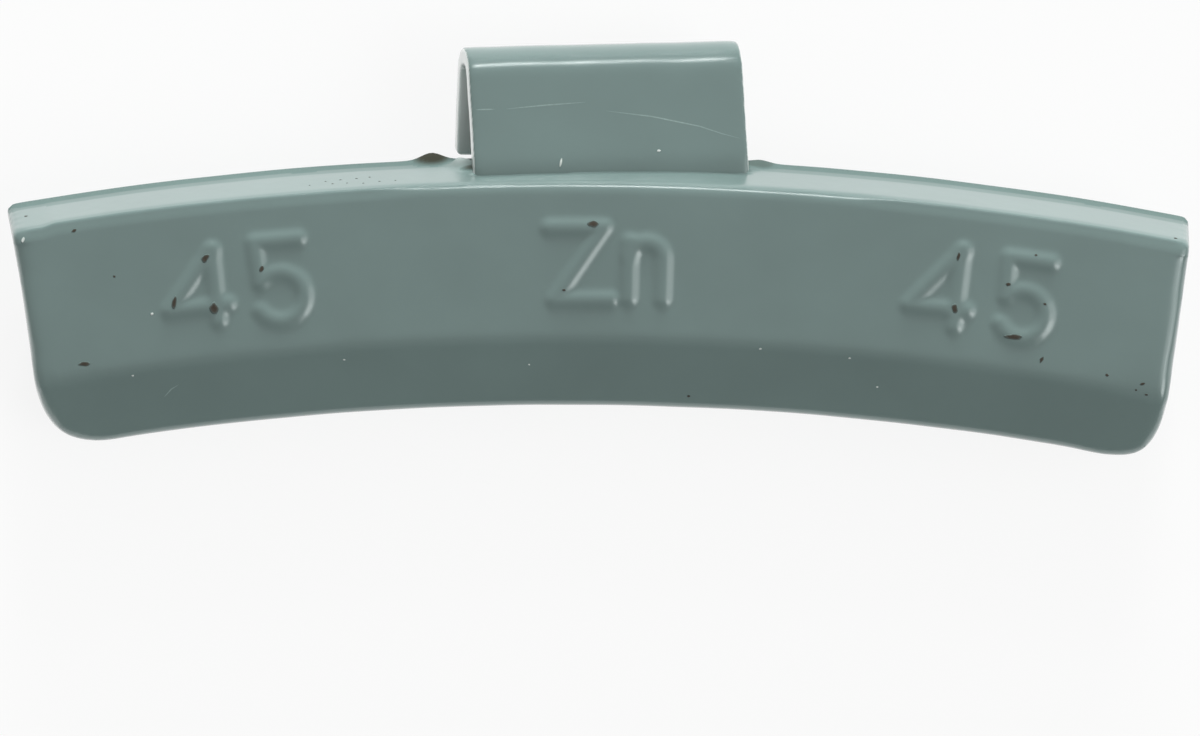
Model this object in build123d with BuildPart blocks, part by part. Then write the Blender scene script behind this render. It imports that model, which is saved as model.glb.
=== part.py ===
from build123d import *
import math
import os

# Clip-on wheel balance weight: a curved zinc die casting around a bent spring steel clip.
# X runs along the weight, Y points outward from the wheel's axis, and Z points out of the front face.
# The origin is the middle of the flat seat at the back, on which the weight lies.

# Casting, with heights measured outward from its inner edge at mid-length
body_length = 64.2  # over the upper corners, at the back
inner_radius = 165.0  # of the inner edge, about the wheel's axis
body_height = 13.5  # inner edge to ridge
body_depth = 9.2  # seat to front face
top_rise = 1.3  # upper edge of the front face to ridge
ridge_setback = 4.2  # front face to ridge
crease_height = 3.5  # inner edge to the crease between bevel and front face
bevel_depth = 2.7  # front face to the bevel's lower edge
seat_height = 7.5  # inner edge to the seat's upper edge
relief_radius = 12.0  # of the rounded upper back, which lies in the rim's hollow
end_lean = 7.5  # degrees between an end and the middle line
draft_angle = 0.5  # degrees, narrowing towards the front
lower_corner_radius = 4.0
crease_radius = 0.8
seat_edge_radius = 2.0  # between the seat and the upper back
long_edge_radius = 0.6  # along the ridge and the front face's upper edge
rim_edge_radius = 0.4  # round the ends and along the inner edge

# Spring clip, a bent strip whose tongue the zinc is cast around
clip_width = 15.0
clip_thickness = 1.0
clip_setback = 2.1  # front of the casting to the front of the strip, at the foot
clip_shift = 0.35  # foot from mid-length
clip_roll = 2.3  # degrees askew, seen from the front
clip_yaw = 4.0  # degrees askew, seen from above
hook_skew = 5.2  # degrees by which the strip's sides lean further, so that the hook opens to the left
tongue_length = 8.0  # inside the casting
limb_length = 4.65  # straight part above the foot
limb_lean = 9.5  # degrees backward
foot_bend_radius = 2.0
hook_radius = 2.0  # outside of the bend over the rim
free_slope = 20.0  # degrees backward from straight down
free_length = 4.55
free_corner_radius = 0.4
strip_edge_radius = 0.2
anchor_hole_diameter = 3.2
anchor_hole_spacing = 7.5
anchor_hole_height = 3.0  # tongue's end to the holes' centres

# Places worked out from these sizes
inner_edge = -seat_height / 2
outer_radius = inner_radius + body_height
ridge_z = body_depth - ridge_setback
wheel_centre = (0, inner_edge - inner_radius)
wheel_axis = Axis((*wheel_centre, 0), (0, 0, 1))
half_length = body_length / 2
corner_y = wheel_centre[1] + math.sqrt(outer_radius**2 - half_length**2)
end_slope = math.tan(math.radians(end_lean))
strip_setback = clip_setback + clip_thickness / 2
foot_y = inner_edge + body_height - top_rise * (1 - strip_setback / ridge_setback)
tolerance = 1e-3

os.makedirs("parts", exist_ok=True)

# Spring clip
upright_plane = Plane((clip_shift, foot_y, body_depth - strip_setback), x_dir=(0, 1, 0), z_dir=(1, 0, 0))
clip_plane = upright_plane.rotated((0, clip_yaw, clip_roll))
side_plane = upright_plane.rotated((0, clip_yaw + hook_skew, clip_roll))
tongue_plane = Plane(clip_plane.origin, x_dir=clip_plane.z_dir, z_dir=clip_plane.y_dir)

with BuildPart() as spring_clip:
    with BuildSketch(side_plane) as strip:
        with BuildLine() as strip_line:
            tongue = Line((-tongue_length, 0), (0, 0))
            foot = JernArc(tongue @ 1, tongue % 1, foot_bend_radius, -limb_lean)
            limb = Line(foot @ 1, foot @ 1 + limb_length * (foot % 1))
            hook_turn = 180 - limb_lean - free_slope
            hook = JernArc(limb @ 1, limb % 1, hook_radius - clip_thickness / 2, -hook_turn)
            free_limb = Line(hook @ 1, hook @ 1 + free_length * (hook % 1))
        trace(line_width=clip_thickness)
    extrude(amount=clip_width / 2, dir=clip_plane.z_dir, both=True)
    # The free end's two corners are its lowest edges across the strip's thickness
    end_edges = spring_clip.edges().filter_by(lambda edge: abs(edge.length - clip_thickness) < tolerance)
    fillet(end_edges.sort_by(Axis.Z)[:2], free_corner_radius)
    strip_sides = spring_clip.faces().filter_by(Axis(side_plane.origin, side_plane.z_dir))
    fillet(strip_sides.edges().filter_by(lambda edge: edge.length > 2 * clip_thickness), strip_edge_radius)
    with BuildSketch(tongue_plane):
        with Locations((0, anchor_hole_height - tongue_length)):
            with GridLocations(anchor_hole_spacing, 0, 2, 1):
                Circle(anchor_hole_diameter / 2)
    extrude(amount=clip_thickness, both=True, mode=Mode.SUBTRACT)

spring_clip.part.label = "spring_clip"
export_step(spring_clip.part, "parts/spring_clip.step")

# Casting: a ring of the section, cut to the drafted outline of the weight
trim_margin = 2.0  # how far the ring and the outline run past each other
section_plane = Plane((*wheel_centre, 0), x_dir=(0, -1, 0), z_dir=(-1, 0, 0))
seat_end = (inner_radius + seat_height, 0)
ridge = (outer_radius, ridge_z)
front_edge = (outer_radius - top_rise, body_depth)
crease = (inner_radius + crease_height, body_depth)
bevel_slope = bevel_depth / crease_height
trim_radius = inner_radius - trim_margin
bevel_end = (trim_radius, body_depth - bevel_depth - bevel_slope * trim_margin)
outline_flare = trim_margin * math.tan(math.radians(draft_angle))
corner_drop = inner_radius - math.sqrt(inner_radius**2 - half_length**2)
outline_top = inner_edge + body_height + trim_margin
outline_bottom = inner_edge - corner_drop - trim_margin
top_x = half_length + outline_flare + end_slope * (outline_top - corner_y)
bottom_x = half_length + outline_flare + end_slope * (outline_bottom - corner_y)

with BuildPart() as weight_body:
    with BuildSketch(section_plane) as section:
        with BuildLine():
            RadiusArc(seat_end, ridge, -relief_radius)
            Polyline(ridge, front_edge, crease, bevel_end, (trim_radius, 0), seat_end)
        make_face()
        for corner, radius in (
            (seat_end, seat_edge_radius),
            (ridge, long_edge_radius),
            (front_edge, long_edge_radius),
            (crease, crease_radius),
        ):
            fillet(section.vertices().sort_by_distance(corner)[0], radius)
    revolve(axis=wheel_axis)
    with BuildSketch(Plane.XY.offset(-trim_margin)) as outline:
        with BuildLine():
            Polyline(
                (-bottom_x, outline_bottom),
                (bottom_x, outline_bottom),
                (top_x, outline_top),
                (-top_x, outline_top),
                close=True,
            )
        make_face()
        with Locations(wheel_centre):
            Circle(inner_radius - outline_flare, mode=Mode.SUBTRACT)
        fillet(outline.vertices().group_by(Axis.Y)[0], lower_corner_radius)
    extrude(amount=body_depth + 2 * trim_margin, taper=draft_angle, mode=Mode.INTERSECT)
    # The rim is every edge that only one of the ends, corners and inner face has
    side_tilt = math.sin(math.radians(draft_angle))
    sides = weight_body.faces().filter_by(lambda face: abs(face.normal_at().Z - side_tilt) < tolerance)
    rim = sides.edges().filter_by(lambda edge: sum(edge.is_same(other) for other in sides.edges()) == 1)
    fillet(rim, rim_edge_radius)
    add(spring_clip.part, mode=Mode.SUBTRACT)

weight_body.part.label = "weight_body"
export_step(weight_body.part, "parts/weight_body.step")
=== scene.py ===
"""Looks of a wheel balance weight: thick grey enamel over a curved casting and its spring steel clip.

The casting and the clip are dense copies of the frame's solids. The casting is unrolled to a straight bar,
gets its raised figures and casting flaws there, and is bent back. Places on the bar are given along the arc,
above the inner edge and up from the seat.
"""
import math

import bmesh
import bpy
import numpy as np
from mathutils import Matrix, Vector, noise
from mathutils.bvhtree import BVHTree


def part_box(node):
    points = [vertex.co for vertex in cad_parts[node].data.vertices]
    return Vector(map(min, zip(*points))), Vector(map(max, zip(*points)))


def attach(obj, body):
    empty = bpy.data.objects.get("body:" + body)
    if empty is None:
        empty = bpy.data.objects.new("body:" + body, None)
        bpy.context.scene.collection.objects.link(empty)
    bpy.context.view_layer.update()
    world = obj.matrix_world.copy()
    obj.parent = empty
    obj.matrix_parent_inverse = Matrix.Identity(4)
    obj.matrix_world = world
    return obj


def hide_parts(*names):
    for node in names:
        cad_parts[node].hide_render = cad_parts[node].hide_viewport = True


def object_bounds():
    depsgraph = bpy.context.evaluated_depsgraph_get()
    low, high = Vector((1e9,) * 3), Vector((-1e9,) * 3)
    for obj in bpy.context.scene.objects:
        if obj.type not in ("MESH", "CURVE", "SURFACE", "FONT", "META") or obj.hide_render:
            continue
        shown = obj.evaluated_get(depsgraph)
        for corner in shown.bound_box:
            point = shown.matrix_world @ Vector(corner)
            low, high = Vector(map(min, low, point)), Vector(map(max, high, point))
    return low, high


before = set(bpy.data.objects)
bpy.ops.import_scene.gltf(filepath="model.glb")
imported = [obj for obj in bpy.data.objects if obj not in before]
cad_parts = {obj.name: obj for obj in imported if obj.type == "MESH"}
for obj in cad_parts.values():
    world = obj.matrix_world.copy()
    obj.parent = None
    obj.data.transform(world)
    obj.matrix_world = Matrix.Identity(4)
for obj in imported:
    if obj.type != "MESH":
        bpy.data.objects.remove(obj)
cad_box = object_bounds()

# Shaping is done in millimetres, and the finished meshes are in metres
millimetre = 0.001

# The casting's curve about the wheel's axis, and its section
inner_radius = 165.0
inner_edge_y = -3.75  # of the inner edge at mid-length
wheel_axis_y = inner_edge_y - inner_radius
middle_radius = 172.0  # at which lengths along the arc are measured
front_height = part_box("weight_body")[1].z / millimetre
edge_height = 12.2  # above the inner edge, where front face and band would meet
ridge_top = 13.5  # above the inner edge
ridge_height = 5.0  # up from the seat
bevel_slope = 0.77  # of the lower part of the front face
band_direction = Vector((ridge_top - edge_height, ridge_height - front_height)).normalized()

# Meshes
weld_distance = 1e-4
slot_margin = 0.1  # round the clip, in which the casting's long edges are divided before it is unrolled
slot_edge = 1.0  # longest edge there
division_rounds = 6
casting_voxel = 0.22
clip_voxel = 0.1
smoothing_factor = 0.5  # of one pass
casting_smoothing = 4  # passes that round the edges as thick paint does
end_smoothing = 10  # more passes round the two ends
end_start = 30.4  # along the arc
end_top = 11.3  # above the inner edge
tip_smoothing = 4  # more passes over the outermost part of both ends
tip_smoothing_start = 31.2  # along the arc
clip_smoothing = 34  # passes over the strip apart from its cut edges
cut_edge_facing = 0.5  # X of the normal, from which a place belongs to a cut edge
edge_smoothing = 3  # passes over the strip with its cut edges

# Raised figures: place along the arc, base line above the inner edge, width, height
figures = [
    ("four", -23.6, 5.45, 3.15, 3.8),
    ("five", -18.85, 5.1, 2.75, 4.35),
    ("zed", -2.95, 5.55, 3.3, 3.9),
    ("en", 1.35, 5.65, 1.85, 3.05),
    ("four", 16.6, 5.4, 3.15, 4.1),
    ("five", 21.55, 5.25, 2.65, 4.25),
]
figure_rise = 0.16
figure_margin = 1.0  # round a figure, in which the mesh is finer
figure_smoothing = 3
stroke_crown = 0.1  # half the width of a stroke's top
stroke_foot = 0.66  # half the width of a stroke at its foot
bow_steps = 16
front_facing = 0.8  # Z of the normal, from which a place belongs to the front face
front_depth = 0.3  # of the layer that counts as the front face

# Lumps beside the clip: along the arc, above the inner edge, up from the seat, reach, rise, soil, and
# paleness that is a painted highlight
lumps = [
    (-9.0, 13.35, 5.3, 0.75, 0.42, 0.95, 0.0),
    # painted highlight: pale paint on the blob at the clip's foot
    (-7.55, 13.1, 6.3, 0.42, 0.5, 0.0, 0.35),
    (-7.25, 12.9, 6.9, 0.2, 0.2, 0.8, 0.0),
    (8.2, 13.4, 5.4, 0.7, 0.22, 0.45, 0.0),
    (7.75, 13.1, 6.3, 0.3, 0.25, 0.0, 0.0),
]
lump_end = 2.5  # reaches from a lump's middle to where it ends
lump_soil_full = 0.5  # share of a lump's rise, from which it is fully soiled

# Shape of the painted casting against the bare one
lower_drop = 0.15  # of the crease and the inner edge
lower_fade = (4.0, 7.0)  # above the inner edge, between which that drop ends
edge_drop = 0.33  # of the front face's upper edge, by which it lies lower than on the bare casting
edge_drop_start = 10.5  # above the inner edge
edge_drop_fade = 1.5
sag_drop = 0.14  # by which the paint has sagged further at the left end
sag_start = -28.9  # along the arc
sag_length = 0.9
corner_pushes = [(-30.1, 1.2, 0.33), (30.1, 1.2, 0.74)]  # fuller lower corners: place, and how far out
corner_reach = 2.0
corner_slant = 0.7  # share of a push that goes along the arc, and as much goes inward
corner_least = 0.01  # share of a push that is too small to count
corner_bevel_start = 3.0  # up from the seat, where a push begins to follow the bevel
corner_bevel_fade = 3.0
tuck_slope = 0.045  # of the inner wall, which recedes behind the bevel's lower edge
tuck_height = 6.3  # up from the seat
tuck_reach = 3.0  # above the inner edge
tip_stretch = 0.44  # of the ridge's left tip
stretch_start = -29.6  # along the arc
stretch_length = 1.8
stretch_fade = (5.0, 13.3)  # above the inner edge, between which that stretch grows
ripple_height = 0.025
casting_ripple = 4.5  # length of the waves in the paint
clip_ripple = 2.6

# Crisp upper edge of the front face, apart from the part before the clip
edge_sharpness = 0.75  # share of the rounding that is taken away
edge_reach = 1.0  # from the corner
roll_fall = 0.13  # by which the front face rolls off at the corner
roll_reach = 0.9  # along the face
roll_depth = 0.5  # along the band
edge_end = 30.9  # along the arc
edge_end_fade = 0.8
soft_middle = 1.6  # along the arc, of the part that stays round
soft_half = 11.0
soft_fade = 3.0

# Painted shade along the ridge: darker, duller paint where the ridge turns away
ridge_shade_start = 12.75  # above the inner edge
ridge_shade_width = 0.5
back_level = 4.4  # up from the seat
ridge_shade = 0.16
dull_levels = (0.05, 0.13)  # of soil and painted shade, from which the paint has half its gloss and none

# Paint that has run together round the clip's foot
foot_reach = 0.8
foot_rise = 0.12
foot_overlap = 0.15  # of the casting into the clip, so that no slit shows
foot_pull = (0.28, 0.6)  # distances from the clip within which the casting's surface is drawn to it
foot_smoothing = 2
foot_mesh_reach = 1.6  # from the clip, within which the mesh is finer
foot_mesh_start = 11.25  # above the inner edge

# Pale places of the clip, by the direction that they face: bare metal on the cut edges, partly painted
# reflection, and painted light inside the hook
cut_facing = 0.7  # X of the normal, from which the paint on a cut edge thins out
cut_fade = 0.2
hook_painted_light = 0.95  # painted light: pale paint inside the hook
hook_middle = 4.4  # up from the seat, between the hook's two limbs
hook_facing = (0.2, 0.6)  # Z of the normal, between which the bareness grows

# Pits in the paint: place in X and Y, length, width, turn in degrees
pits = [
    (-21.55, 3.8, 0.45, 0.32, 60),
    (-23.2, 1.4, 0.55, 0.2, 80),
    (-21.05, 1.1, 0.55, 0.42, 110),
    (-18.5, 3.25, 0.34, 0.22, 75),
    (-28.0, -2.0, 0.55, 0.22, 0),
    (-28.65, 5.2, 0.28, 0.14, 40),
    (-31.25, 5.95, 0.18, 0.14, 0),
    (-26.45, 2.75, 0.13, 0.12, 0),
    (-0.6, 5.9, 0.5, 0.32, 10),
    (-2.15, 2.3, 0.16, 0.12, 0),
    (4.65, -3.35, 0.15, 0.13, 0),
    (19.2, 4.4, 0.42, 0.18, 80),
    (19.0, 1.55, 0.46, 0.3, 100),
    (21.9, 2.9, 0.24, 0.18, 0),
    (22.25, 0.05, 0.85, 0.26, -5),
    (23.9, 1.85, 0.16, 0.12, 0),
    (23.75, -1.15, 0.3, 0.16, 60),
    (27.3, -1.95, 0.18, 0.15, 0),
    (29.25, -2.4, 0.26, 0.13, 15),
    (29.45, -3.0, 0.16, 0.1, 0),
    (28.9, -2.75, 0.12, 0.09, 0),
    (23.4, 4.5, 0.15, 0.12, 0),
    (30.95, 5.5, 0.2, 0.14, 0),
    (-15.97, 7.8, 0.1, 0.07, 0),
    (-15.11, 8.02, 0.09, 0.07, 0),
    (-14.73, 7.9, 0.1, 0.08, 0),
    (-14.3, 8.12, 0.12, 0.08, 0),
    (-13.94, 7.95, 0.09, 0.07, 0),
    (-13.43, 8.2, 0.12, 0.08, 0),
    (-13.07, 7.95, 0.1, 0.07, 0),
    (-12.73, 8.28, 0.1, 0.07, 0),
    (-12.2, 8.06, 0.12, 0.08, 0),
    (-11.33, 8.12, 0.1, 0.07, 0),
]
pit_height = 0.015

# Pale flecks of dust in the paint, and one painted glint on the left end, given like the pits
flecks = [
    (-25.4, -2.6, 0.14, 0.12, 0),
    (-24.4, 0.75, 0.16, 0.14, 0),
    (-14.0, -1.6, 0.12, 0.1, 0),
    (8.5, -0.75, 0.14, 0.1, 0),
    (13.35, -1.2, 0.13, 0.11, 0),
    (14.85, -2.75, 0.12, 0.1, 0),
    # painted highlight: a pale fleck where the left end's rounded edge shows a glint
    (-31.4, 4.65, 0.28, 0.14, 75),
    (-4.0, -1.75, 0.1, 0.09, 0),
]
clip_flecks = [(2.9, 9.9, 0.2, 0.13, 10), (-2.4, 9.2, 0.45, 0.13, 80)]
fleck_height = 0.015

# Rings of a pit or fleck, from its rim inwards: shares of its size and height, strength of its colour
drop_profile = [(1.2, 0.0, 0.0), (0.95, 0.4, 0.7), (0.65, 0.8, 0.95), (0.3, 0.97, 1.0)]
drop_steps = 14  # round each ring
drop_unevenness = 0.45

# Scratches, as lines in X and Y
clip_scratches = [
    [(-7.05, 12.0), (-6.0, 12.04)],
    [(-5.4, 12.06), (-3.2, 12.3), (-1.1, 12.48)],
    [(0.05, 12.02), (2.5, 11.75), (5.1, 11.25), (6.3, 10.87), (7.3, 10.62)],
]
casting_scratches = [[(-23.7, -3.75), (-23.3, -3.3), (-22.9, -3.05)]]
scratch_width = 0.085
scratch_tip = 0.15  # share of that width at both ends
scratch_tip_strength = 0.4  # of the colour at both ends
scratch_height = 0.003
scratch_step = 0.15

# Camera, worked out from the photo, in metres
camera_distance = 0.6  # from the front face
camera_turn = math.radians(1.66)
camera_pitch = math.radians(-1.31)
camera_roll = math.radians(-0.63)
aim = (-0.00018, -0.00189)  # point of the front face's plane at the picture's centre
view_width = 0.064886  # in the front face's plane
view_range = (0.01, 10)  # nearest and farthest distance that is drawn
sensor_width = 36  # in millimetres, as is the lens

# Paint, with the scale and detail of each noise in it
enamel_colour = (0.129, 0.19, 0.18)
enamel_mottle = 0.07  # share by which the colour varies up and down
enamel_clouds = (160, 4)
peel_clouds = (800, 2)
peel_depth = 0.000012  # in metres
paint_ior = 1.52
paint_tint = (0.8, 1, 0.97)  # of what it mirrors
paint_specular = (0.15, 0.5)  # of dull and of fresh paint
paint_roughness = (0.8, 0.28)  # of dull and of fresh paint
coat_ior = 1.65
casting_coat_roughness = 0.22
casting_finishes = {"casting_enamel": 1.0, "smudged_and_shaded_enamel": 0.5, "soiled_and_shaded_enamel": 0.0}  # gloss of each
clip_coat_roughness = 0.21
clip_gloss = 1.0
clip_darkening = 0.93  # of the clip's paint against the casting's
# dark olive brown of the soil on the lumps, and of the painted shade along the ridge
soil_and_shade_colour = (0.032, 0.03, 0.02)
bare_and_lit_colour = (0.72, 0.76, 0.74)  # of bare metal, and of the painted light on the clip's cut edges, inside its hook and on a lump beside it
cloud_values = (0.2, 0.8)  # usual lowest and highest values of a noise

# Marks in the paint
pit_colour = (0.042, 0.034, 0.024)
pit_roughness = 0.8
fleck_colour = (0.55, 0.6, 0.57)
fleck_roughness = 0.5
scratch_colour = (0.25, 0.33, 0.31)
scratch_roughness = 0.35
mark_mottle = 0.25
mark_clouds = (6000, 3)

# Light: the sky's levels, and each lamp's strength, direction, width in degrees and whether it is mirrored
zenith_level = 0.5
horizon_level = 0.45
horizon_power = 2  # with which the sky's level changes towards the horizon
south_dimming = 0.5  # share of the sky's light that is missing on the side of the inner edge
lamps = {
    "back": (5.5, (0.05, 0.995, 0.09), 20, False),
    "window": (0.24, (0.052, 0.83, 0.55), 6, True),
    "side": (0.45, (0.74, -0.12, 0.63), 64, False),
    "side_panel": (0.45, (0.7, -0.12, 0.7), 44, True),
    "side_core": (0.36, (0.66, -0.29, 0.69), 26, True),
    "left": (0.25, (-0.93, -0.1, 0.3), 30, False),
}
floor_size = 4
floor_colour = (0.86, 0.87, 0.86)
floor_whiteness = 0.86  # share of the floor's look that doesn't depend on the light


def smoothstep(values):
    clamped = np.clip(values, 0.0, 1.0)
    return clamped * clamped * (3.0 - 2.0 * clamped)


def ease(value):
    return float(smoothstep(value))


# The straight bar
def unroll(point):
    outward = point.y - wheel_axis_y
    along = middle_radius * math.atan2(point.x, outward)
    return Vector((along, math.hypot(point.x, outward) - inner_radius, point.z))


def roll_up(point):
    angle = point.x / middle_radius
    radius = inner_radius + point.y
    return Vector((radius * math.sin(angle), wheel_axis_y + radius * math.cos(angle), point.z))


# Dense copies of the frame's solids
def in_millimetres(mesh):
    larger = bmesh.new()
    larger.from_mesh(mesh)
    bmesh.ops.scale(larger, vec=(1 / millimetre,) * 3, verts=larger.verts)
    return larger


def solid_of(node):
    solid = in_millimetres(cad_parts[node].data)
    bmesh.ops.remove_doubles(solid, verts=solid.verts, dist=weld_distance)
    return solid


def within(place, low, high):
    return all(least <= value <= most for least, value, most in zip(low, place, high))


def divide_long_edges(solid, low, high):
    """Halves the long edges inside a box, round by round, so that flat faces there outlast the unrolling."""
    for _ in range(division_rounds):
        long_edges = [
            edge
            for edge in solid.edges
            if edge.calc_length() > slot_edge and all(within(vert.co, low, high) for vert in edge.verts)
        ]
        if not long_edges:
            break
        bmesh.ops.subdivide_edges(solid, edges=long_edges, cuts=1)
        bmesh.ops.triangulate(solid, faces=solid.faces)


def remeshed(solid, voxel):
    coarse = bpy.data.meshes.new("coarse")
    solid.to_mesh(coarse)
    carrier = bpy.data.objects.new("coarse", coarse)
    bpy.context.scene.collection.objects.link(carrier)
    modifier = carrier.modifiers.new("voxels", "REMESH")
    modifier.mode = "VOXEL"
    modifier.voxel_size = voxel
    depsgraph = bpy.context.evaluated_depsgraph_get()
    fine = bpy.data.meshes.new_from_object(carrier.evaluated_get(depsgraph))
    dense = bmesh.new()
    dense.from_mesh(fine)
    bpy.data.objects.remove(carrier)
    bpy.data.meshes.remove(coarse)
    bpy.data.meshes.remove(fine)
    return dense


def settle_on(dense, surface):
    for vert in dense.verts:
        vert.co = surface.find_nearest(vert.co)[0]


def smooth(dense, verts, passes):
    for _ in range(passes):
        bmesh.ops.smooth_vert(
            dense,
            verts=verts,
            factor=smoothing_factor,
            use_axis_x=True,
            use_axis_y=True,
            use_axis_z=True,
        )


def divide_faces(dense, chosen):
    faces = {face for face in dense.faces if chosen(face)}
    edges = [edge for edge in dense.edges if not faces.isdisjoint(edge.link_faces)]
    bmesh.ops.subdivide_edges(dense, edges=edges, cuts=1, use_grid_fill=True)
    dense.normal_update()


def finished_piece(dense, name, smooth_faces=True):
    bmesh.ops.scale(dense, vec=(millimetre,) * 3, verts=dense.verts)
    bmesh.ops.recalc_face_normals(dense, faces=dense.faces)
    mesh = bpy.data.meshes.new(name)
    dense.to_mesh(mesh)
    dense.free()
    if smooth_faces:
        mesh.shade_smooth()
    piece = bpy.data.objects.new(name, mesh)
    bpy.context.scene.collection.objects.link(piece)
    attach(piece, "root")
    return piece


# Raised figures, as strokes in the straight bar's front face
def bow(centre, radius, start, end):
    along, up = centre
    angles = np.radians(np.linspace(start, end, bow_steps + 1))
    return [(along + radius * math.cos(angle), up + radius * math.sin(angle)) for angle in angles]


def four(left, base, width, height):
    stem = left + 0.82 * width
    bar = base + 0.22 * height
    top = base + height
    return [[(stem, top), (left, bar), (left + width, bar)], [(stem, base), (stem, top)]]


def five(left, base, width, height):
    radius = 0.305 * height
    centre = (left + 0.47 * width, base + radius)
    top = base + height
    flag = left + 0.9 * width
    neck = left + 0.05 * width
    bowl = bow(centre, radius, start=140, end=-150)
    return [[(flag, top), (neck, top), *bowl]]


def zed(left, base, width, height):
    top = base + height
    right = left + width
    upper_bend = right - 0.12 * width
    lower_bend = left + 0.08 * width
    return [[(left, top), (upper_bend, top), (lower_bend, base), (right, base)]]


def en(left, base, width, height):
    radius = width / 2
    shoulder = base + height - radius
    arch = bow((left + radius, shoulder), radius, start=170, end=0)
    return [[(left, base), (left, base + height)], [*arch, (left + width, base)]]


def figure_strokes():
    shapes = {"four": four, "five": five, "zed": zed, "en": en}
    return [stroke for name, *place in figures for stroke in shapes[name](*place)]


def distance_to_stroke(along, up, stroke):
    nearest = np.full(along.shape, np.inf)
    for (start_along, start_up), (end_along, end_up) in zip(stroke, stroke[1:]):
        run = end_along - start_along
        climb = end_up - start_up
        reached = ((along - start_along) * run + (up - start_up) * climb) / (run * run + climb * climb)
        share = np.clip(reached, 0.0, 1.0)
        distance = np.hypot(along - start_along - share * run, up - start_up - share * climb)
        nearest = np.minimum(nearest, distance)
    return nearest


def on_front(vert):
    return vert.normal.z > front_facing and vert.co.z > front_height - front_depth


def near_figure(place):
    return any(
        left - figure_margin < place.x < left + width + figure_margin
        and base - figure_margin < place.y < base + height + figure_margin
        for _, left, base, width, height in figures
    )


def by_figure(face):
    return all(map(on_front, face.verts)) and near_figure(face.calc_center_median())


def raise_figures(dense):
    front = [vert for vert in dense.verts if on_front(vert)]
    along = np.array([vert.co.x for vert in front])
    up = np.array([vert.co.y for vert in front])
    flat = np.ones(along.shape)
    for stroke in figure_strokes():
        distance = distance_to_stroke(along, up, stroke)
        flat *= 1 - smoothstep((stroke_foot - distance) / (stroke_foot - stroke_crown))
    for vert, share in zip(front, flat):
        vert.co.z += figure_rise * (1 - share)
    smooth(dense, [vert for vert in front if near_figure(vert.co)], figure_smoothing)


# Shape of the painted casting, as a straight bar
def lower_inner_edge(dense):
    low, high = lower_fade
    for vert in dense.verts:
        vert.co.y -= lower_drop * ease((high - vert.co.y) / (high - low))


def off_corner(place):
    """How far a place lies from the corner of front face and band, along the one and along the other."""
    along_band = (place.z - front_height) / band_direction.y
    along_face = edge_height + along_band * band_direction.x - place.y
    return along_face, along_band


def by_front_edge(place):
    return all(abs(distance) < edge_reach for distance in off_corner(place))


def sharpen_front_edge(dense):
    """Draws the rounding in towards the corner, and lets the front face roll off gently to it."""
    for vert in dense.verts:
        if by_front_edge(vert.co):
            along_face, along_band = off_corner(vert.co)
            inward = ease((edge_end - abs(vert.co.x)) / edge_end_fade)
            beside = ease((abs(vert.co.x - soft_middle) - soft_half) / soft_fade)
            shift = edge_sharpness * max(min(along_face, along_band), 0) * inward * beside
            nearness = min(max(1 - along_face / roll_reach, 0), 1) ** 2
            fall = roll_fall * nearness * ease(1 - along_band / roll_depth) * inward * beside
            vert.co.y += shift * (1 - band_direction.x)
            vert.co.z -= shift * band_direction.y + fall


def add_lumps(dense):
    dense.normal_update()
    soil_and_shade = dense.verts.layers.float.new("soil_and_shade")
    bare_and_lit = dense.verts.layers.float.new("bare_and_lit")
    for *place, reach, rise, soiled_and_shaded, painted_highlight in lumps:
        centre = Vector(place)
        for vert in dense.verts:
            distance = (vert.co - centre).length
            if distance < lump_end * reach:
                share = math.exp(-((distance / reach) ** 2))
                vert.co += vert.normal * rise * share
                vert[soil_and_shade] = max(vert[soil_and_shade], soiled_and_shaded * ease(share / lump_soil_full))
                # a lump's paleness is a painted highlight
                vert[bare_and_lit] = max(vert[bare_and_lit], painted_highlight * share)


def lower_front_edge(dense):
    for vert in dense.verts:
        sag = ease((sag_start - vert.co.x) / sag_length)
        depth = min(max((vert.co.z - ridge_height) / (front_height - ridge_height), 0), 1)
        nearness = ease((vert.co.y - edge_drop_start) / edge_drop_fade)
        vert.co.y -= (edge_drop + sag_drop * sag) * depth * nearness


def fill_lower_corners(dense):
    for along, up, push in corner_pushes:
        for vert in dense.verts:
            across = vert.co.x - along
            above = vert.co.y - up
            share = math.exp(-(across**2 + above**2) / corner_reach**2)
            if share > corner_least:
                outward = corner_slant * push * share
                bevelled = ease((vert.co.z - corner_bevel_start) / corner_bevel_fade)
                vert.co.x += math.copysign(outward, along)
                vert.co.y -= outward
                vert.co.z -= outward * bevel_slope * bevelled


def tuck_inner_wall(dense):
    for vert in dense.verts:
        below = max(tuck_height - vert.co.z, 0)
        vert.co.y += below * tuck_slope * ease(1 - vert.co.y / tuck_reach)


def stretch_tip(dense):
    low, high = stretch_fade
    for vert in dense.verts:
        upward = max(vert.co.y - low, 0) / (high - low)
        vert.co.x -= tip_stretch * upward**2 * ease((stretch_start - vert.co.x) / stretch_length)


def ripple(dense, length):
    dense.normal_update()
    for vert in dense.verts:
        vert.co += vert.normal * ripple_height * noise.noise(vert.co / length)


# Casting
def by_end(vert):
    return abs(vert.co.x) > end_start and vert.co.y < end_top


def at_tip(vert):
    return abs(vert.co.x) > tip_smoothing_start


def by_foot(place, clip_surface):
    return place.y > foot_mesh_start and clip_surface.find_nearest(roll_up(place))[3] < foot_mesh_reach


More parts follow.
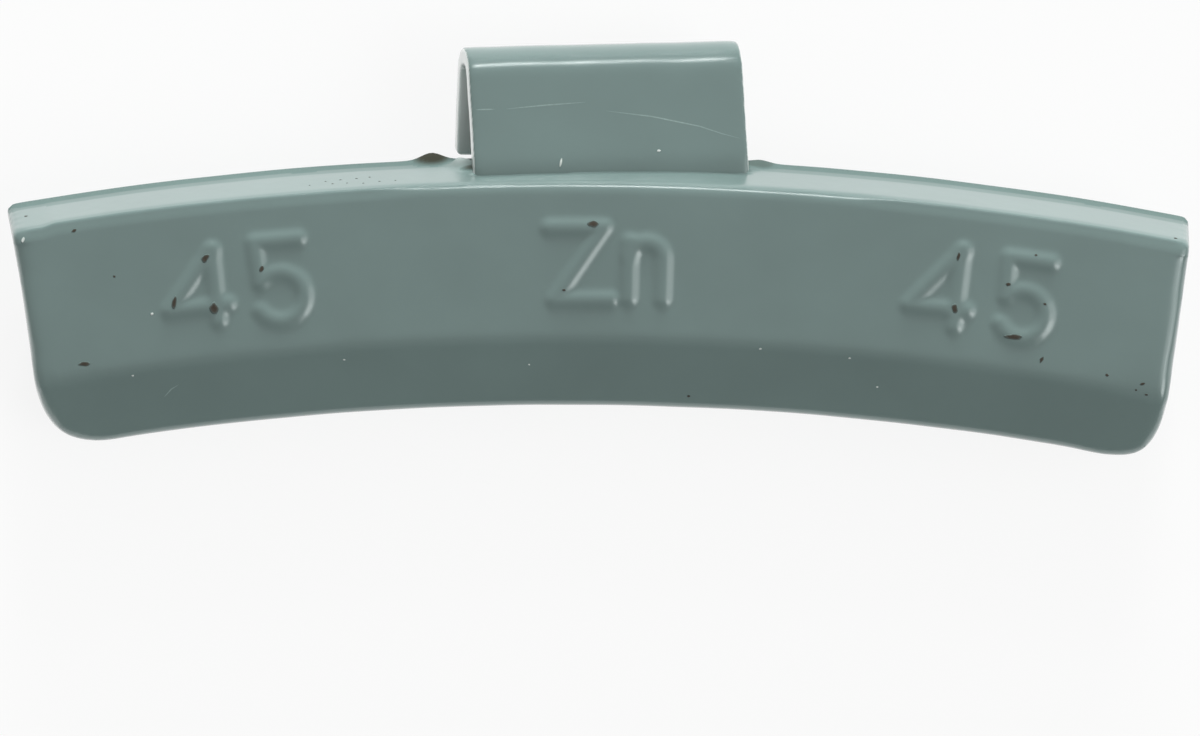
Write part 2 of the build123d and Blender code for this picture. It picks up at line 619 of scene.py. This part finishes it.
def straight_bar():
    """The casting without its curve, with edges as round as thick paint makes them."""
    solid = solid_of("weight_body")
    low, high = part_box("spring_clip")
    margin = Vector((slot_margin,) * 3)
    divide_long_edges(solid, low / millimetre - margin, high / millimetre + margin)
    for vert in solid.verts:
        vert.co = unroll(vert.co)
    dense = remeshed(solid, casting_voxel)
    settle_on(dense, BVHTree.FromBMesh(solid))
    solid.free()
    smooth(dense, dense.verts, casting_smoothing)
    smooth(dense, [vert for vert in dense.verts if by_end(vert)], end_smoothing)
    smooth(dense, [vert for vert in dense.verts if at_tip(vert)], tip_smoothing)
    return dense


def shape_bar(dense, clip_surface):
    """Gives the bar its figures and all that sets the painted casting apart from the bare one."""
    lower_inner_edge(dense)
    divide_faces(dense, lambda face: by_front_edge(face.calc_center_median()))
    sharpen_front_edge(dense)
    dense.normal_update()
    divide_faces(dense, by_figure)
    raise_figures(dense)
    divide_faces(dense, lambda face: by_foot(face.calc_center_median(), clip_surface))
    add_lumps(dense)
    lower_front_edge(dense)
    fill_lower_corners(dense)
    tuck_inner_wall(dense)
    stretch_tip(dense)
    ripple(dense, casting_ripple)


def fill_foot(dense, clip_surface):
    near, far = foot_pull
    band = []
    for vert in dense.verts:
        _, facing, _, distance = clip_surface.find_nearest(vert.co)
        if distance < foot_reach:
            pull = ease((far - distance) / (far - near))
            climb = (1 - distance / foot_reach) ** 2
            vert.co += Vector((0, foot_rise * climb, 0)) - facing * (distance + foot_overlap) * pull
        if near < distance < foot_reach and vert.co.z > back_level:
            band.append(vert)
    smooth(dense, band, foot_smoothing)


# Painted shade: darkens and dulls the paint along the ridge, through the soil mask
def shade_ridge(dense):
    soil_and_shade = dense.verts.layers.float["soil_and_shade"]
    for vert in dense.verts:
        place = unroll(vert.co)
        if place.z > back_level:
            soiled_and_shaded = ridge_shade * ease((place.y - ridge_shade_start) / ridge_shade_width)
            vert[soil_and_shade] = max(vert[soil_and_shade], soiled_and_shaded)


def dull_by_soil_and_shade(dense):
    """Gives each face the number of its finish, from glossy to dull."""
    soil_and_shade = dense.verts.layers.float["soil_and_shade"]
    for face in dense.faces:
        soiled_and_shaded = sum(vert[soil_and_shade] for vert in face.verts) / len(face.verts)
        face.material_index = sum(soiled_and_shaded > level for level in dull_levels)


def casting_piece():
    clip_solid = solid_of("spring_clip")
    clip_surface = BVHTree.FromBMesh(clip_solid)
    clip_solid.free()
    dense = straight_bar()
    shape_bar(dense, clip_surface)
    for vert in dense.verts:
        vert.co = roll_up(vert.co)
    fill_foot(dense, clip_surface)
    shade_ridge(dense)
    dull_by_soil_and_shade(dense)
    piece = finished_piece(dense, "painted_casting")
    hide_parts("weight_body")
    return piece


# Clip
# Bare metal on the cut edges, partly painted reflection: pale paint where the edges would mirror the bright
# floor
def bare_and_lit_cut_edges(dense):
    bare_and_lit = dense.verts.layers.float.new("bare_and_lit")
    dense.normal_update()
    for vert in dense.verts:
        vert[bare_and_lit] = ease((abs(vert.normal.x) - cut_facing) / cut_fade)


def painted_light_in_hook(dense):
    """Painted light: pale paint on the hook's inside, which is the forward side of the free limb as far as
    it is seen.
    """
    bare_and_lit = dense.verts.layers.float["bare_and_lit"]
    low, high = hook_facing
    for vert in dense.verts:
        if vert.co.z < hook_middle:
            share = ease((vert.normal.z - low) / (high - low))
            vert[bare_and_lit] = max(vert[bare_and_lit], hook_painted_light * share)


def clip_piece():
    solid = solid_of("spring_clip")
    dense = remeshed(solid, clip_voxel)
    settle_on(dense, BVHTree.FromBMesh(solid))
    solid.free()
    dense.normal_update()
    smooth(dense, [vert for vert in dense.verts if abs(vert.normal.x) < cut_edge_facing], clip_smoothing)
    smooth(dense, dense.verts, edge_smoothing)
    ripple(dense, clip_ripple)
    bare_and_lit_cut_edges(dense)
    painted_light_in_hook(dense)
    piece = finished_piece(dense, "painted_clip")
    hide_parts("spring_clip")
    return piece


# Camera
def camera_turning():
    turning = (
        Matrix.Rotation(camera_roll, 3, "Z")
        @ Matrix.Rotation(camera_pitch, 3, "X")
        @ Matrix.Rotation(camera_turn, 3, "Y")
    )
    return turning.transposed()


def camera_place():
    front_centre = Vector((0, 0, front_height * millimetre))
    return front_centre + camera_turning() @ Vector((*aim, camera_distance))


def camera():
    lens = bpy.data.cameras.new("camera")
    lens.sensor_width = sensor_width
    lens.lens = sensor_width * camera_distance / view_width
    lens.clip_start, lens.clip_end = view_range
    holder = bpy.data.objects.new("camera", lens)
    holder.matrix_world = Matrix.Translation(camera_place()) @ camera_turning().to_4x4()
    bpy.context.scene.collection.objects.link(holder)
    bpy.context.scene.camera = holder


# Marks in the paint, laid on the finished pieces along the camera's view
def surface_below(surface, x, y):
    start = camera_place() / millimetre
    through = Vector((x, y, front_height))
    place, facing, _, _ = surface.ray_cast(start, through - start)
    return place, facing


def add_drop(marks, place, facing, length, width, turn, height):
    """A low, irregular drop that lies half in the surface, and whose colour fades towards its rim."""
    core = marks.verts.layers.float["core"]
    spin = Matrix.Rotation(math.radians(turn), 3, facing)
    along = spin @ Vector((0, 1, 0)).cross(facing).normalized()
    across = facing.cross(along)
    rings = []
    for share, lift, strength in drop_profile:
        ring = []
        for step in range(drop_steps):
            angle = 2 * math.pi * step / drop_steps
            wander = noise.noise(Vector((place.x + math.cos(angle), place.y, math.sin(angle))))
            rough = 1 + drop_unevenness * wander
            offset = along * (length / 2 * math.cos(angle)) + across * (width / 2 * math.sin(angle))
            vert = marks.verts.new(place + offset * share * rough + facing * height * lift)
            vert[core] = strength
            ring.append(vert)
        rings.append(ring)
    top = marks.verts.new(place + facing * height)
    top[core] = 1.0
    bottom = marks.verts.new(place - facing * height)
    for here in range(drop_steps):
        beside = (here + 1) % drop_steps
        for outer, inner in zip(rings, rings[1:]):
            marks.faces.new((outer[here], outer[beside], inner[beside], inner[here])).smooth = True
        marks.faces.new((rings[-1][here], rings[-1][beside], top)).smooth = True
        marks.faces.new((rings[0][beside], rings[0][here], bottom))


def drop_of(height):
    def add_mark(marks, surface, mark):
        x, y, length, width, turn = mark
        add_drop(marks, *surface_below(surface, x, y), length, width, turn, height)

    return add_mark


def stations_along(line):
    points = [Vector(point) for point in line]
    stations = []
    for start, end in zip(points, points[1:]):
        count = max(1, round((end - start).length / scratch_step))
        stations += [start.lerp(end, number / count) for number in range(count)]
    return [*stations, points[-1]]


def add_scratch(marks, surface, line):
    """A thin, closed ridge along the surface that narrows to both ends."""
    core = marks.verts.layers.float["core"]
    stations = stations_along(line)
    last = len(stations) - 1
    rows = []
    for number, station in enumerate(stations):
        place, facing = surface_below(surface, *station)
        forward = stations[min(number + 1, last)] - stations[max(number - 1, 0)]
        side = facing.cross(Vector((*forward, 0))).normalized()
        middling = math.sin(math.pi * number / last)
        half = scratch_width / 2 * (scratch_tip + middling**0.5)
        lift = facing * scratch_height
        corners = (side * half + lift / 2, lift, -side * half + lift / 2, -lift)
        row = [marks.verts.new(place + corner) for corner in corners]
        row[1][core] = scratch_tip_strength + (1 - scratch_tip_strength) * middling
        rows.append(row)
    for row, following in zip(rows, rows[1:]):
        for here in range(len(row)):
            beside = (here + 1) % len(row)
            marks.faces.new((row[here], row[beside], following[beside], following[here]))
    marks.faces.new(rows[0])
    marks.faces.new(reversed(rows[-1]))


def marks_piece(name, carrier, groups):
    """One piece with all the marks on a carrier; each group is a material, a maker and a list of marks."""
    carrier_mesh = in_millimetres(carrier.data)
    surface = BVHTree.FromBMesh(carrier_mesh)
    carrier_mesh.free()
    marks = bmesh.new()
    marks.verts.layers.float.new("core")
    for number, (_, make, places) in enumerate(groups):
        before = len(marks.faces)
        for place in places:
            make(marks, surface, place)
        marks.faces.ensure_lookup_table()
        for face in marks.faces[before:]:
            face.material_index = number
    piece = finished_piece(marks, name, smooth_faces=False)
    for material, _, _ in groups:
        piece.data.materials.append(material)
    return piece


# Materials
def new_material(name):
    material = bpy.data.materials.new(name)
    material.use_nodes = True
    return material


def shaded(colour, factor):
    return tuple(factor * channel for channel in colour)


def by_gloss(dull_and_fresh, gloss):
    dull, fresh = dull_and_fresh
    return dull + (fresh - dull) * gloss


def math_node(tree, operation, *values):
    node = tree.nodes.new("ShaderNodeMath")
    node.operation = operation
    for socket, value in zip(node.inputs, values):
        if isinstance(value, (int, float)):
            socket.default_value = value
        else:
            tree.links.new(value, socket)
    return node.outputs[0]


def clouds(tree, scale, detail):
    place = tree.nodes.new("ShaderNodeTexCoord")
    texture = tree.nodes.new("ShaderNodeTexNoise")
    texture.inputs["Scale"].default_value = scale
    texture.inputs["Detail"].default_value = detail
    tree.links.new(place.outputs["Object"], texture.inputs["Vector"])
    return texture.outputs["Fac"]


def spread(tree, source):
    """Stretches a noise to the range from 0 to 1."""
    low, high = cloud_values
    mapped = tree.nodes.new("ShaderNodeMapRange")
    mapped.inputs["From Min"].default_value = low
    mapped.inputs["From Max"].default_value = high
    tree.links.new(source, mapped.inputs["Value"])
    return mapped.outputs["Result"]


def attribute(tree, name):
    node = tree.nodes.new("ShaderNodeAttribute")
    node.attribute_name = name
    return node.outputs["Fac"]


def blend(tree, share, first, second):
    mix = tree.nodes.new("ShaderNodeMix")
    mix.data_type = "RGBA"
    tree.links.new(share, mix.inputs["Factor"])
    for socket, value in (("A", first), ("B", second)):
        if isinstance(value, tuple):
            mix.inputs[socket].default_value = (*value, 1)
        else:
            tree.links.new(value, mix.inputs[socket])
    return mix.outputs["Result"]


def mottled(tree, colour, variation, scale_and_detail):
    share = spread(tree, clouds(tree, *scale_and_detail))
    return blend(tree, share, shaded(colour, 1 - variation), shaded(colour, 1 + variation))


def peel(tree):
    """The fine unevenness of sprayed paint."""
    bump = tree.nodes.new("ShaderNodeBump")
    bump.inputs["Strength"].default_value = 1.0
    bump.inputs["Distance"].default_value = peel_depth
    tree.links.new(clouds(tree, *peel_clouds), bump.inputs["Height"])
    return bump.outputs["Normal"]


def enamel(name, colour, gloss, coat_roughness):
    """Mottled paint with soiled and bare places, with painted shade along the ridge and painted light on the
    clip's cut edges, inside its hook and on a lump; its gloss is 1 for fresh paint and 0 for dull paint.
    """
    material = new_material(name)
    tree = material.node_tree
    shader = tree.nodes["Principled BSDF"]
    shader.inputs["IOR"].default_value = paint_ior
    shader.inputs["Specular IOR Level"].default_value = by_gloss(paint_specular, gloss)
    shader.inputs["Specular Tint"].default_value = (*paint_tint, 1)
    shader.inputs["Roughness"].default_value = by_gloss(paint_roughness, gloss)
    shader.inputs["Coat Weight"].default_value = gloss
    shader.inputs["Coat IOR"].default_value = coat_ior
    shader.inputs["Coat Roughness"].default_value = coat_roughness
    paint = mottled(tree, colour, enamel_mottle, enamel_clouds)
    # soil on the lumps and painted shade along the ridge, then bare metal and painted light on the clip's
    # cut edges, inside its hook and on a lump
    soiled_and_shaded = blend(tree, attribute(tree, "soil_and_shade"), paint, soil_and_shade_colour)
    worn_and_lit = blend(tree, attribute(tree, "bare_and_lit"), soiled_and_shaded, bare_and_lit_colour)
    tree.links.new(worn_and_lit, shader.inputs["Base Color"])
    tree.links.new(peel(tree), shader.inputs["Normal"])
    return material


def mark_material(name, colour, roughness):
    material = new_material(name)
    tree = material.node_tree
    shader = tree.nodes["Principled BSDF"]
    shader.inputs["Roughness"].default_value = roughness
    grain = mottled(tree, colour, mark_mottle, mark_clouds)
    faded = blend(tree, attribute(tree, "core"), enamel_colour, grain)
    tree.links.new(faded, shader.inputs["Base Color"])
    return material


def floor_material():
    """Pale paper that keeps a faint shadow, and is mostly plain white where it is seen or mirrored."""
    material = new_material("pale_floor")
    tree = material.node_tree
    tree.nodes.clear()
    out = tree.nodes.new("ShaderNodeOutputMaterial")
    paper = tree.nodes.new("ShaderNodeBsdfDiffuse")
    paper.inputs["Color"].default_value = (*floor_colour, 1)
    glow = tree.nodes.new("ShaderNodeEmission")
    mixed = tree.nodes.new("ShaderNodeMixShader")
    rays = tree.nodes.new("ShaderNodeLightPath").outputs
    mirrored = math_node(tree, "MAXIMUM", rays["Is Glossy Ray"], rays["Is Transmission Ray"])
    seen = math_node(tree, "MAXIMUM", rays["Is Camera Ray"], mirrored)
    tree.links.new(math_node(tree, "MULTIPLY", seen, floor_whiteness), mixed.inputs["Fac"])
    tree.links.new(paper.outputs[0], mixed.inputs[1])
    tree.links.new(glow.outputs[0], mixed.inputs[2])
    tree.links.new(mixed.outputs[0], out.inputs["Surface"])
    return material


# Stage
def floor():
    bpy.ops.mesh.primitive_plane_add(size=floor_size, location=(0, 0, cad_box[0].z))
    plane = bpy.context.object
    plane.name = "floor"
    plane.data.materials.append(floor_material())


def sky():
    """White light that is a little weaker at the horizon, and much weaker on the side of the inner edge."""
    world = bpy.data.worlds.new("soft_sky")
    bpy.context.scene.world = world
    world.use_nodes = True
    tree = world.node_tree
    background = tree.nodes["Background"]
    background.inputs["Color"].default_value = (1, 1, 1, 1)
    direction = tree.nodes.new("ShaderNodeTexCoord")
    split = tree.nodes.new("ShaderNodeSeparateXYZ")
    tree.links.new(direction.outputs["Generated"], split.inputs[0])
    highness = math_node(tree, "MAXIMUM", split.outputs["Z"], 0)
    lowness = math_node(tree, "POWER", math_node(tree, "SUBTRACT", 1, highness), horizon_power)
    level = math_node(tree, "MULTIPLY_ADD", lowness, horizon_level - zenith_level, zenith_level)
    south = math_node(tree, "MAXIMUM", math_node(tree, "MULTIPLY", split.outputs["Y"], -1), 0)
    share = math_node(tree, "SUBTRACT", 1, math_node(tree, "MULTIPLY", south, south_dimming))
    tree.links.new(math_node(tree, "MULTIPLY", level, share), background.inputs["Strength"])


def lamp(name, level, direction, softness, mirrored):
    light = bpy.data.lights.new(name, "SUN")
    light.energy = level
    light.angle = math.radians(softness)
    holder = bpy.data.objects.new(name, light)
    holder.rotation_euler = Vector(direction).to_track_quat("Z", "Y").to_euler()
    holder.visible_glossy = mirrored
    bpy.context.scene.collection.objects.link(holder)


casting = casting_piece()
clip = clip_piece()
for name, gloss in casting_finishes.items():
    casting.data.materials.append(enamel(name, enamel_colour, gloss, casting_coat_roughness))
clip_colour = shaded(enamel_colour, clip_darkening)
clip.data.materials.append(enamel("clip_enamel", clip_colour, clip_gloss, clip_coat_roughness))
bare_metal = mark_material("bare_metal", pit_colour, pit_roughness)
dust_and_glint = mark_material("dust_and_glint", fleck_colour, fleck_roughness)
scuff = mark_material("scuff", scratch_colour, scratch_roughness)
casting_marks = [
    (bare_metal, drop_of(pit_height), pits),
    (dust_and_glint, drop_of(fleck_height), flecks),
    (scuff, add_scratch, casting_scratches),
]
clip_marks = [(dust_and_glint, drop_of(fleck_height), clip_flecks), (scuff, add_scratch, clip_scratches)]
marks_piece("casting_marks", casting, casting_marks)
marks_piece("clip_marks", clip, clip_marks)

floor()
sky()
for name, settings in lamps.items():
    lamp(name, *settings)
camera()
bpy.context.scene.view_settings.view_transform = "Standard"
